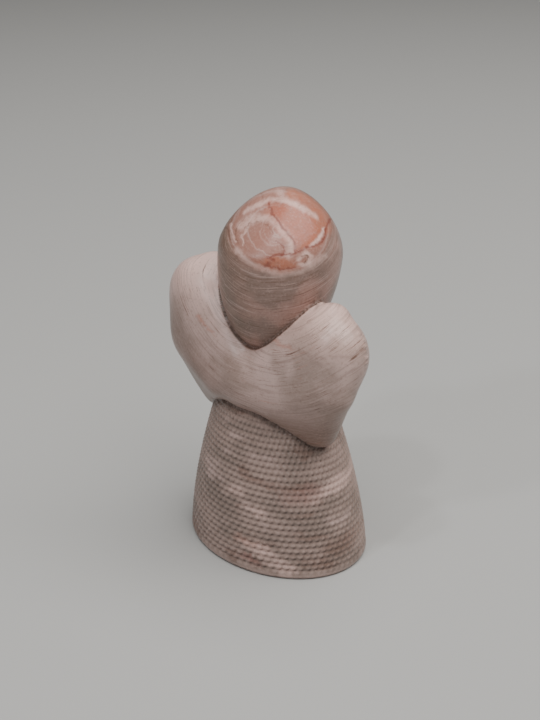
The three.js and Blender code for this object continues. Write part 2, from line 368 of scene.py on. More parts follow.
@dataclass
class Head:
    """The egg of smooth hair, with a plain oval face let into its front.

    The fine part of its mesh is an oval round the crown's middle, in millimetres, down to a depth before it.
    """

    sizes: HeadSizes = HeadSizes()
    segments: int = 98
    rings: int = 62
    rounds: int = 24
    fine_half_sizes: tuple[float, float] = (14.3, 11.6)
    fine_depth: float = 22.0

    def ball(self) -> bpy.types.Object:
        """Adds a fine ball of radius 1.

        Returns:
            The ball.
        """
        bpy.ops.object.select_all(action="DESELECT")
        bpy.ops.mesh.primitive_uv_sphere_add(segments=self.segments, ring_count=self.rings, radius=1)
        return bpy.context.active_object

    def set_on_neck(self, piece: bpy.types.Object) -> None:
        """Tilts a piece and lifts it into place.

        Args:
            piece: a piece modelled upright round the head's middle.
        """
        select_only(piece)
        piece.rotation_euler = (self.sizes.tilt, 0, 0)
        piece.location = (0, -self.sizes.forward, self.sizes.level)
        bpy.ops.object.transform_apply(location=True, rotation=True, scale=True)

    def hair(self) -> bpy.types.Object:
        """Models the egg: a ball drawn out below, and above to a crown that is peaked seen from the front.

        Returns:
            The closed egg.
        """
        size = self.sizes
        piece = self.ball()
        across, behind, up = points_of(piece).T
        around = np.maximum(np.hypot(across, behind), 1e-6)
        sideways = (across / around) ** 2
        backwards = (1 + behind / around) / 2
        lengthwise = size.brow_power + (size.nape_power - size.brow_power) * backwards
        power = lengthwise + (size.peak_power - lengthwise) * sideways
        above = up > 0
        spread = np.where(above, around ** (2 / power - 1), 1.0) * size.width / 2
        rise = size.crown_rise * np.abs(up) ** (2 / power)
        height = np.where(above, rise, up * size.nape_drop)
        move_points(piece, np.column_stack((across * spread, behind * spread, height)))
        apply_modifier(piece, "SMOOTH", factor=SMOOTHING, iterations=self.rounds)
        self.set_on_neck(piece)
        self.refine_crown(piece)
        return piece

    def refine_crown(self, piece: bpy.types.Object) -> None:
        """Divides the faces of the crown's back finely, where the pour's thin lines are.

        Args:
            piece: the egg, in its place.
        """
        off = face_middles(piece) / MM - CROWN_MIDDLE
        across, up = off @ RIGHT, off @ CROWN_UP
        half_width, half_height = self.fine_half_sizes
        fine = (np.hypot(across / half_width, up / half_height) < 1) & (off @ BACK > -self.fine_depth)
        divide_faces(piece, fine, cuts=2, roundness=1.0)

    def face_oval(self, margin: float, forward: float) -> bpy.types.Object:
        """Adds an oval at the place of the face.

        Args:
            margin: how much the oval is grown on all sides.
            forward: the place of its middle, front to back.

        Returns:
            The oval.
        """
        size = self.sizes
        piece = self.ball()
        piece.scale = (size.face_width / 2 + margin, size.face_depth / 2, size.face_height / 2 + margin)
        bpy.ops.object.transform_apply(location=False, rotation=False, scale=True)
        bpy.ops.transform.translate(value=(0, forward, -size.face_drop))
        bpy.ops.object.transform_apply(location=True, rotation=False, scale=False)
        self.set_on_neck(piece)
        return piece

    def reach(self, points: np.ndarray) -> np.ndarray:
        """Measures how far points are from the head's middle.

        Args:
            points: one row of x, y, z for each point.

        Returns:
            1 on the skin of the head's lower half, less inside it and more outside.
        """
        size = self.sizes
        across = points[:, 0]
        behind = points[:, 1] + size.forward
        up = points[:, 2] - size.level
        level_behind = behind * math.cos(size.tilt) + up * math.sin(size.tilt)
        level_up = up * math.cos(size.tilt) - behind * math.sin(size.tilt)
        tall = np.where(level_up > 0, size.crown_rise, size.nape_drop)
        return np.sqrt((across ** 2 + level_behind ** 2) / (size.width / 2) ** 2 + (level_up / tall) ** 2)

    def build(self) -> bpy.types.Object:
        """Models the head.

        Returns:
            The closed head.
        """
        size = self.sizes
        piece = self.hair()
        dish = self.face_oval(size.furrow, -size.width / 2 - size.face_setback)
        face = self.face_oval(0.0, -size.width / 2 + size.face_setback + size.face_depth / 2)
        apply_modifier(piece, "BOOLEAN", operation="DIFFERENCE", object=dish, solver="MANIFOLD")
        apply_modifier(piece, "BOOLEAN", operation="UNION", object=face, solver="MANIFOLD")
        bpy.data.objects.remove(dish)
        bpy.data.objects.remove(face)
        piece.name = "head"
        LOG.info("head: %d faces", len(piece.data.polygons))
        return piece


@dataclass
class Wings:
    """Both wings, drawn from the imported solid.

    A band is given in the dress's or the head's own reach, where 1 is on the skin. A zone is two heights
    between which a change comes in smoothly.
    """

    dress: Dress
    head: Head
    voxel: float = 0.84 * MM
    rounds: int = 10
    floor: float = 26 * MM
    clearance: float = 1.6 * MM
    dress_band: float = 1.06
    head_band: float = 1.07
    dress_zone: tuple[float, float] = (54 * MM, 60 * MM)
    crown_zone: tuple[float, float] = (82 * MM, 88 * MM)
    joint_middle: float = 1.04
    joint_half_width: float = 0.045
    joint_top: float = 82 * MM
    joint_front: float = -8 * MM
    rim: tuple[tuple[float, float, float], ...] = ((-30.3, 3.7, 73.0), (-32.1, 4.1, 69.9), (-32.9, 4.3, 65.6))
    rim_reach: float = 1.3 * MM
    rim_height: float = 0.6 * MM
    rim_waves: tuple[float, float] = (3.1, 1.3)

    def roughen_rim(self, piece: bpy.types.Object) -> None:
        """Raises the ragged edge that the mould left on one wing's rim.

        Args:
            piece: the rounded copy of the solid.
        """
        divide_faces(piece, self.off_rim(face_middles(piece)) < 2 * self.rim_reach, cuts=2)
        points = points_of(piece)
        near = 1.0 - smooth_step(0.0, self.rim_reach, self.off_rim(points))
        quick, slow = self.rim_waves
        ragged = 0.5 + 0.5 * np.sin(points[:, 2] / MM * quick) * np.sin(points[:, 2] / MM * slow + 1.0)
        points += (near * ragged * self.rim_height)[:, None] * RIGHT
        move_points(piece, points)

    def off_rim(self, points: np.ndarray) -> np.ndarray:
        """Measures how far points are from the rough rim."""
        rim = np.array(self.rim) * MM
        return np.minimum(off_segment(points, rim[0], rim[1]), off_segment(points, rim[1], rim[2]))

    def refine_joint(self, piece: bpy.types.Object) -> None:
        """Divides the faces where the wings meet the head, so that the joint runs smoothly.

        Args:
            piece: the rounded copy of the solid.
        """
        middles = face_middles(piece)
        near_head = np.abs(self.head.reach(middles) - self.joint_middle) < self.joint_half_width
        behind = (middles[:, 2] < self.joint_top) & (middles[:, 1] > self.joint_front)
        divide_faces(piece, near_head & behind, cuts=2)

    def draw_in(self, piece: bpy.types.Object) -> None:
        """Draws the copy's own dress and head in, so that they are under the modelled ones.

        Args:
            piece: the rounded copy of the solid.
        """
        points = points_of(piece)
        behind = points[:, 1] - self.dress.setback(points[:, 2])
        under = 1.0 - smooth_step(1.0, self.dress_band, self.dress.reach(points))
        under *= 1.0 - smooth_step(*self.dress_zone, points[:, 2])
        under = np.maximum(under, 1.0 - smooth_step(1.0, self.head_band, self.head.reach(points)))
        drawn = under * self.clearance / np.maximum(np.hypot(points[:, 0], behind), self.clearance)
        points[:, 0] -= drawn * points[:, 0]
        points[:, 1] -= drawn * behind
        points[:, 2] -= self.clearance * smooth_step(*self.crown_zone, points[:, 2])
        move_points(piece, points)

    def build(self) -> bpy.types.Object:
        """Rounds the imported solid's facets away and draws its dress and head in, under the modelled ones.

        Returns:
            The closed core that carries the wings.
        """
        select_only(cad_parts[CAD_NODE])
        bpy.ops.object.duplicate()
        piece = bpy.context.active_object
        piece.parent = None
        piece.name = "wings"
        with editing(piece):
            bpy.ops.mesh.remove_doubles(threshold=MERGE)
        apply_modifier(piece, "REMESH", mode="VOXEL", voxel_size=self.voxel)
        apply_modifier(piece, "SMOOTH", factor=SMOOTHING, iterations=self.rounds)
        self.refine_joint(piece)
        self.roughen_rim(piece)
        self.draw_in(piece)
        foot, up = (0, 0, self.floor), (0, 0, 1)
        with editing(piece):
            bpy.ops.mesh.bisect(plane_co=foot, plane_no=up, use_fill=True, clear_inner=True)
        LOG.info("wings: %d faces", len(piece.data.polygons))
        return piece


Colour = tuple[float, float, float]


class Tint(Enum):
    """The tints of the pools and strokes, by their names in the palette."""

    WHITE = "white"
    SALMON = "salmon"
    ORANGE = "orange"
    RED = "red"
    BROWN = "brown"


class Mark(Enum):
    """What each point of the casting keeps for the material: its place on the knit, its share of painted
    shade in the knit's pits and the joints round the wings, its pour.
    """

    KNIT = "knit"
    PIT = "pit"
    POUR = "pour"


@dataclass(frozen=True)
class Palette:
    """The compound's tints, and the colour of the painted shade, as linear colours."""

    pale: Colour = (0.57, 0.41, 0.375)
    pink: Colour = (0.385, 0.235, 0.198)
    mauve: Colour = (0.25, 0.168, 0.14)
    brown: Colour = (0.15, 0.08, 0.055)
    olive: Colour = (0.18, 0.123, 0.088)
    salmon: Colour = (0.44, 0.145, 0.095)
    orange: Colour = (0.44, 0.14, 0.075)
    white: Colour = (0.82, 0.565, 0.505)
    red: Colour = (0.2, 0.05, 0.036)
    rose: Colour = (0.37, 0.178, 0.138)
    ash: Colour = (0.235, 0.178, 0.152)
    lilac: Colour = (0.35, 0.255, 0.222)
    # The painted shade in the knit's pits and the joints round the wings.
    pit: Colour = (0.07, 0.04, 0.028)

    def of(self, tint: Tint) -> Colour:
        """Gives a tint's colour."""
        return getattr(self, tint.value)


@dataclass(frozen=True)
class Stroke:
    """One streak of tint, through points in millimetres across and up from the pour's middle."""

    tint: Tint
    width: float
    strength: float
    points: tuple[tuple[float, float], ...]
    softness: float = 0.5


@dataclass(frozen=True)
class Pool:
    """One oval of tint, in millimetres from the pour's middle, turned by an angle in degrees."""

    tint: Tint
    middle: tuple[float, float]
    half_sizes: tuple[float, float]
    turn: float
    strength: float
    softness: float


# The lengths in millimetres of the waves that tint wanders in, and each one's share of the wobble.
WOBBLE_WAVES = ((9.0, 1.0), (2.7, 0.5), (1.3, 0.3))
CROWN_LAYERS = (
    Pool(Tint.SALMON, (-2.0, 4.4), (1.9, 1.7), 20, 0.45, 0.6),
    Pool(Tint.SALMON, (-3.8, -2.4), (3.2, 3.0), 0, 0.2, 0.6),
    Pool(Tint.SALMON, (4.0, 1.5), (7.2, 4.6), -47, 0.9, 0.3),
    Pool(Tint.ORANGE, (-0.5, -8.6), (5.2, 1.9), -3, 0.65, 0.5),
    Stroke(Tint.ORANGE, 3.2, 0.65, ((3.3, 9.1), (8.0, 7.3), (11.0, 4.0), (11.6, 0.5)), 0.8),
    Stroke(Tint.ORANGE, 1.9, 0.6, ((8.3, 4.3), (9.6, 1.5), (8.8, -1.5), (6.3, -4.3)), 0.9),
    Stroke(Tint.BROWN, 0.5, 0.5, ((-5.0, 10.0), (-4.4, 8.0)), 0.8),
    Stroke(Tint.WHITE, 1.8, 0.45, ((0.3, 9.6), (1.3, 8.1)), 0.9),
    Stroke(Tint.WHITE, 1.2, 0.6,
           ((-8.8, 4.5), (-6.0, 6.3), (-4.0, 7.3), (-0.8, 7.6), (2.8, 7.1), (6.3, 5.1), (9.3, 3.3)), 0.8),
    Stroke(Tint.WHITE, 1.9, 0.5,
           ((-9.8, 1.0), (-6.3, 3.3), (-2.8, 3.0), (0.3, 1.0), (2.3, -1.5), (3.0, -4.5), (2.0, -6.0)), 0.8),
    Stroke(Tint.BROWN, 0.26, 0.7, ((-8.8, 0.5), (-7.3, 2.0), (-5.3, 2.3), (-3.0, 1.0), (-2.0, -0.5))),
    Stroke(Tint.BROWN, 0.26, 0.6, ((-10.6, -3.8), (-11.1, -1.3), (-10.1, 1.3), (-8.4, 3.4))),
    Stroke(Tint.WHITE, 0.45, 0.5, ((-9.3, -4.0), (-9.6, -1.5), (-8.3, 0.3))),
    Stroke(Tint.SALMON, 1.6, 0.5, ((-2.6, 6.6), (-0.8, 3.0), (1.8, 0.5), (3.5, -2.0), (4.3, -4.6)), 0.9),
    Stroke(Tint.RED, 0.55, 0.75, ((-3.0, 6.8), (-1.3, 3.0), (1.3, 0.5), (3.0, -2.0), (3.8, -5.0)), 0.8),
    Stroke(Tint.RED, 0.5, 0.7, ((-1.3, -2.8), (0.3, -3.5), (1.0, -5.0), (0.5, -6.3)), 0.8),
    Stroke(Tint.WHITE, 0.9, 0.8, ((11.1, 0.3), (9.6, -2.0), (7.8, -4.3)), 0.6),
    Stroke(Tint.RED, 0.65, 0.8,
           ((12.9, 3.0), (11.1, -1.8), (8.8, -4.0), (5.8, -5.0), (3.5, -5.6), (1.3, -6.1), (-3.0, -6.8))),
    Stroke(Tint.WHITE, 1.1, 0.6, ((4.8, -7.1), (6.3, -5.6), (7.8, -6.8), (6.8, -8.8), (5.0, -8.6)), 0.8),
    Stroke(Tint.BROWN, 0.36, 0.85, ((5.3, -6.3), (7.1, -6.6), (6.8, -7.6), (5.8, -8.1))),
    Stroke(Tint.RED, 0.45, 0.7, ((-4.3, -9.1), (0.3, -9.6), (3.8, -9.1)), 0.7),
    Stroke(Tint.RED, 0.9, 0.8, ((-3.8, -8.8), (-2.6, -8.3)), 0.8),
    Stroke(Tint.RED, 0.7, 0.75, ((-1.8, -7.4), (-1.2, -7.6)), 0.8),
    Stroke(Tint.BROWN, 0.45, 0.7, ((-13.9, 1.5), (-12.9, 0.0), (-12.4, -2.5))),
    Stroke(Tint.WHITE, 0.45, 0.6, ((-12.4, 1.8), (-11.9, -0.3), (-11.1, -3.3))),
    Stroke(Tint.WHITE, 1.2, 0.4,
           ((-11.1, -5.1), (-7.6, -8.1), (-2.5, -10.6), (5.0, -10.6), (11.4, -6.3)), 0.9),
)
WING_LAYERS = (
    Stroke(Tint.ORANGE, 0.8, 0.5, ((-21.5, 67.8), (-19.5, 65.8), (-17.5, 64.6)), 0.9),
    Stroke(Tint.ORANGE, 0.7, 0.4, ((-1.9, 67.3), (0.2, 67.8), (2.6, 68.2)), 0.9),
    Stroke(Tint.BROWN, 0.5, 0.3, ((2.6, 68.3), (8.0, 68.2), (14.8, 69.2), (21.4, 69.5)), 0.9),
    Stroke(Tint.BROWN, 0.4, 0.25, ((6.0, 66.8), (13.0, 67.0), (19.5, 68.0)), 0.9),
)
DRESS_LAYERS = (
    Pool(Tint.RED, (-7.8, 4.1), (3.8, 1.2), 0, 0.45, 0.6),
    Pool(Tint.ORANGE, (-9.1, 9.4), (2.2, 1.2), 0, 0.3, 0.8),
    Pool(Tint.WHITE, (-5.6, 7.9), (4.2, 1.9), -10, 0.55, 0.5),
    Pool(Tint.WHITE, (1.2, 3.9), (4.4, 2.2), -15, 0.5, 0.5),
    Pool(Tint.RED, (6.4, 24.9), (5.6, 2.5), 10, 0.3, 0.7),
    Pool(Tint.WHITE, (14.8, 25.6), (5.2, 2.0), 15, 0.6, 0.6),
    Pool(Tint.WHITE, (-12.3, 22.8), (2.4, 1.6), 0, 0.4, 0.7),
    Pool(Tint.WHITE, (-6.6, 19.6), (3.0, 1.2), -15, 0.45, 0.6),
    Pool(Tint.BROWN, (16.7, 8.5), (4.4, 3.2), 20, 0.5, 0.7),
)


@dataclass(frozen=True)
class Pour:
    """Pools and strokes of tint on one part of the back, laid on a flat place that faces it.

    The middle is the point that is 0, 0 on the flat place, and the wobble is how far the tint wanders, both
    in millimetres. The layers start with the lowest.
    """

    middle: tuple[float, float, float]
    up: tuple[float, float, float]
    wobble: float
    layers: tuple[Pool | Stroke, ...]

    def spots(self, points: np.ndarray) -> np.ndarray:
        """Finds where points are on the flat place.

        Args:
            points: one row of x, y, z for each point.

        Returns:
            For each point, the millimetres across to the right, and up.
        """
        off = points / MM - self.middle
        spots = np.column_stack((off @ RIGHT, off @ np.array(self.up)))
        for length, share in WOBBLE_WAVES:
            amount = self.wobble * share
            turns = spots * 2 * math.pi / length
            across = np.sin(turns[:, 1] + 1.7 * np.sin(0.7 * turns[:, 0] + 1.0))
            upward = np.sin(1.1 * turns[:, 0] + 1.3 * np.sin(0.8 * turns[:, 1] + 2.0))
            spots = spots + amount * np.column_stack((across, upward))
        return spots

    def off_middle(self, layer: Pool | Stroke, spots: np.ndarray) -> np.ndarray:
        """Measures how far spots are from the middle of a pool or a stroke.

        Args:
            layer: the pool or stroke.
            spots: one row of across and up for each point.

        Returns:
            1 on the layer's edge, less inside it.
        """
        if isinstance(layer, Pool):
            turn = math.radians(layer.turn)
            off = spots - layer.middle
            long = off @ (math.cos(turn), math.sin(turn)) / layer.half_sizes[0]
            wide = off @ (-math.sin(turn), math.cos(turn)) / layer.half_sizes[1]
            return np.hypot(long, wide)
        line = np.array(layer.points)
        nearest = np.min([off_segment(spots, start, end) for start, end in zip(line, line[1:])], axis=0)
        return nearest / (layer.width / 2)

    def lay(self, points: np.ndarray, where: np.ndarray, palette: Palette, tint: np.ndarray) -> None:
        """Lays the layers over the tint that points have so far.

        Args:
            points: one row of x, y, z for each point.
            where: 1 for the points that the pour reaches.
            palette: the tints' colours.
            tint: one row of red, green, blue and cover for each point, changed in place.
        """
        spots = self.spots(points)
        for layer in self.layers:
            off = self.off_middle(layer, spots)
            cover = 1.0 - smooth_step(1.0 - layer.softness, 1.0 + layer.softness, off)
            cover = cover * layer.strength * where
            total = cover + tint[:, 3] * (1.0 - cover)
            colour = np.array(palette.of(layer.tint))
            share = np.divide(cover, total, out=np.zeros_like(cover), where=total > 0)[:, None]
            tint[:, :3] = tint[:, :3] * (1.0 - share) + colour * share
            tint[:, 3] = total


CROWN_POUR = Pour(CROWN_MIDDLE, CROWN_UP, 0.25, CROWN_LAYERS)
WING_POUR = Pour((0.0, 0.0, 0.0), (0.0, 0.0, 1.0), 0.3, WING_LAYERS)
DRESS_POUR = Pour((0.0, 0.0, 0.0), (0.0, 0.0, 1.0), 0.6, DRESS_LAYERS)


@dataclass
class Casting:
    """The whole figurine as one piece, whose points keep marks for its material.

    A band is given in the dress's or the head's own reach, where 1 is on the skin. The pour comes in smoothly
    over the back zone, from front to back.
    """

    dress: Dress
    head: Head
    wings: Wings
    palette: Palette
    knit_band: float = 1.01
    head_band: float = 1.012
    # The joint band and reaches and the pit share set where and how strongly shade is painted round the wings
    # and in the knit's pits.
    joint_band: float = 1.05
    dress_joint: float = 2.6 * MM
    head_joint: float = 0.9 * MM
    pit_share: float = 0.31
    back_zone: tuple[float, float] = (-5 * MM, 0.0)

    def nearness(self, points: np.ndarray, those: np.ndarray, where: np.ndarray, reach: float) -> np.ndarray:
        """Tells how near some points are to others: 1 where they touch, 0 from a reach away.

        Args:
            points: one row of x, y, z for each point.
            those: for each point, whether it is one of those measured to.
            where: for each point, whether it is measured from.
            reach: the distance at which nearness ends.

        Returns:
            The nearness of each point, 0 where it isn't measured from.
        """
        tree = KDTree(int(those.sum()))
        for index, place in enumerate(points[those]):
            tree.insert(place, index)
        tree.balance()
        near = np.zeros(len(points))
        near[where] = [1.0 - min(tree.find(place)[2] / reach, 1.0) for place in points[where]]
        return near

    def mark_joint_shade(self, points: np.ndarray, knit: np.ndarray, on_head: np.ndarray) -> np.ndarray:
        """Finds the joints round the wings, where shade is painted: under the wings' edge on the knit, where
        some dark compound also lies, and in the crevice beside the head.

        Args:
            points: one row of x, y, z for each point.
            knit: for each point, whether it is on the knit.
            on_head: for each point, whether it is on the head.

        Returns:
            1 in a joint, 0 away from it.
        """
        on_wings = ~on_head & ~knit
        beside_head = 1.0 - smooth_step(self.head_band, self.joint_band, self.head.reach(points))
        joint = self.nearness(points, on_wings, knit, self.dress_joint)
        joint = np.maximum(joint, on_wings * beside_head)
        return np.maximum(joint, self.nearness(points, on_wings, on_head, self.head_joint))

    def mark_points(self, piece: bpy.types.Object) -> None:
        """Keeps each point's marks: whether it is on the knit, its share of painted shade in the knit's pits
        and the joints, and its share of the pour.

        Args:
            piece: the joined casting.
        """
        points = points_of(piece)
        pit = self.dress.pit(points)
        knit = (self.dress.reach(points) < self.knit_band) & (points[:, 2] < self.dress.sizes.height)
        on_head = (self.head.reach(points) < self.head_band) | (points[:, 2] > self.head.sizes.level)
        # The pit mark: painted shade in the knit's pits, and in the joints round the wings.
        depth = np.maximum(self.pit_share * pit * knit, self.mark_joint_shade(points, knit, on_head))
        for mark, values in ((Mark.KNIT, knit), (Mark.PIT, depth)):
            layer = piece.data.attributes.new(mark.value, "FLOAT", "POINT")
            layer.data.foreach_set("value", values.astype(np.float32))
        behind = smooth_step(*self.back_zone, points @ BACK)
        tint = np.zeros((len(points), 4))
        CROWN_POUR.lay(points, behind * on_head * ~knit, self.palette, tint)
        WING_POUR.lay(points, behind * ~on_head * ~knit, self.palette, tint)
        DRESS_POUR.lay(points, behind * knit, self.palette, tint)
        layer = piece.data.attributes.new(Mark.POUR.value, "FLOAT_COLOR", "POINT")
        layer.data.foreach_set("color", tint.astype(np.float32).ravel())

    def build(self) -> bpy.types.Object:
        """Joins the dress with the wings and the head.

        Returns:
            The finished piece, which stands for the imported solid.
        """
        piece = self.dress.build()
        for addition in (self.wings.build(), self.head.build()):
            apply_modifier(piece, "BOOLEAN", operation="UNION", object=addition, solver="MANIFOLD")
            bpy.data.objects.remove(addition)
        piece.name = "angel_casting"
        self.mark_points(piece)
        select_only(piece)
        bpy.ops.object.shade_smooth()
        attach(piece, "root")
        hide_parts(CAD_NODE)
        triangles = sum(len(face.vertices) - 2 for face in piece.data.polygons)
        LOG.info("casting: %d triangles", triangles)
        return piece


Socket = bpy.types.NodeSocket
Value = Socket | float | tuple[float, ...]


class Recipe:
    """A material's node tree, with short ways to add to it."""

    def __init__(self, name: str) -> None:
        """Starts a material.

        Args:
            name: the material's name.
        """
        self.material = bpy.data.materials.new(name)
        self.material.use_nodes = True
        self.nodes = self.material.node_tree.nodes
        self.shader = self.nodes["Principled BSDF"]

    def feed(self, socket: Socket, value: Value) -> None:
        """Links or sets an input.

        Args:
            socket: the input.
            value: another node's output, or the value itself.
        """
        if isinstance(value, bpy.types.NodeSocket):
            self.material.node_tree.links.new(value, socket)
        else:
            socket.default_value = value

    def math(self, operation: str, one: Value, other: Value) -> Socket:
        """Adds a calculation with two numbers.

        Args:
            operation: what is done with them, such as "MULTIPLY".
            one: the first number.
            other: the second number.

        Returns:
            The result.
        """
        node = self.nodes.new("ShaderNodeMath")
        node.operation = operation
        self.feed(node.inputs[0], one)
        self.feed(node.inputs[1], other)
        return node.outputs[0]

    def vector(self, operation: str, one: Value, other: Value = (0.0, 0.0, 0.0)) -> Socket:
        """Adds a calculation with vectors.

        Args:
            operation: what is done with them, such as "SUBTRACT".
            one: the first vector.
            other: the second vector, or the factor where the operation is "SCALE".

        Returns:
            The result, a number for "DOT_PRODUCT" and "LENGTH".
        """
        node = self.nodes.new("ShaderNodeVectorMath")
        node.operation = operation
        self.feed(node.inputs[0], one)
        self.feed(node.inputs["Scale" if operation == "SCALE" else 1], other)
        gives_number = operation in ("DOT_PRODUCT", "LENGTH")
        return node.outputs["Value" if gives_number else "Vector"]

    def joined(self, across: Value, up: Value, deep: Value = 0.0) -> Socket:
        """Joins three numbers to a vector.

        Args:
            across: its x.
            up: its y.
            deep: its z.

        Returns:
            The vector.
        """
        node = self.nodes.new("ShaderNodeCombineXYZ")
        for socket, value in zip(node.inputs, (across, up, deep)):
            self.feed(socket, value)
        return node.outputs[0]

    def step(self, value: Value, low: float, high: float) -> Socket:
        """Rises smoothly from 0 to 1, or falls where low is the larger.

        Args:
            value: the number that it follows.
            low: where the result is 0.
            high: where the result is 1.

        Returns:
            The result.
        """
        node = self.nodes.new("ShaderNodeMapRange")
        node.interpolation_type = "SMOOTHSTEP"
        self.feed(node.inputs["Value"], value)
        node.inputs["From Min"].default_value = low
        node.inputs["From Max"].default_value = high
        return node.outputs[0]

    def noise(self, place: Socket, scale: float, detail: float = 3.0,
              roughness: float = 0.55) -> bpy.types.Node:
        """Adds a noise texture.

        Args:
            place: the place in millimetres.
            scale: waves per millimetre.
            detail: how many finer layers it has.
            roughness: how strong the finer layers are.

        Returns:
            The noise's node.
        """
        node = self.nodes.new("ShaderNodeTexNoise")
        self.feed(node.inputs["Vector"], place)
        node.inputs["Scale"].default_value = scale
        node.inputs["Detail"].default_value = detail
        node.inputs["Roughness"].default_value = roughness
        return node

    def mix(self, share: Value, one: Value, other: Value) -> Socket:
        """Mixes two colours.

        Args:
            share: 0 for the first colour, 1 for the other.
            one: the first colour.
            other: the other colour.

        Returns:
            The mixed colour.
        """
        node = self.nodes.new("ShaderNodeMix")
        node.data_type = "RGBA"
        for socket, value in zip((node.inputs[0], node.inputs[6], node.inputs[7]), (share, one, other)):
            self.feed(socket, (*value, 1.0) if isinstance(value, tuple) else value)
        return node.outputs[2]

    def warped(self, place: Socket, scale: float, amount: float) -> Socket:
        """Shifts a place by noise.

        Args:
            place: the place in millimetres.
            scale: waves of the noise per millimetre.
            amount: how far it shifts, in millimetres.

        Returns:
            The shifted place.
        """
        shift = self.noise(place, scale, detail=2.0).outputs["Color"]
        centred = self.vector("SUBTRACT", shift, (0.5, 0.5, 0.5))
        return self.vector("ADD", place, self.vector("SCALE", centred, amount))

    def mark(self, mark: Mark) -> bpy.types.Node:
        """Reads a mark of the points.

        Args:
            mark: the mark.

        Returns:
            The node that reads it.
        """
        node = self.nodes.new("ShaderNodeAttribute")
        node.attribute_name = mark.value
        return node


@dataclass(frozen=True)
class Flow:
    """Streaks that run round a point, as the compound flowed.

    The middle is in millimetres. Fine and long are waves per millimetre from streak to streak and along a
    streak, and the seed shifts the pattern.
    """

    middle: tuple[float, float, float]
    fine: float
    long: float
    seed: float


@dataclass(frozen=True)
class Gloss:
    """The compound's satin skin, with its fine grain."""

    roughness: float = 0.3
    refraction: float = 1.45
    shine: float = 0.42
    grain: float = 1.6
    grain_strength: float = 0.18
    grain_height: float = 0.25 * MM


HEAD_STREAKS = Flow((-20.0, 40.0, 180.0), 1.5, 0.09, 3.0)
HEAD_THREADS = Flow((-20.0, 40.0, 180.0), 3.4, 0.16, 17.0)
WING_STREAKS = Flow((-4.0, 12.0, 92.0), 1.25, 0.07, 11.0)
WING_THREADS = Flow((-4.0, 12.0, 92.0), 2.6, 0.12, 29.0)
CROWN_OVAL = (13.0, 10.5, 1.0)


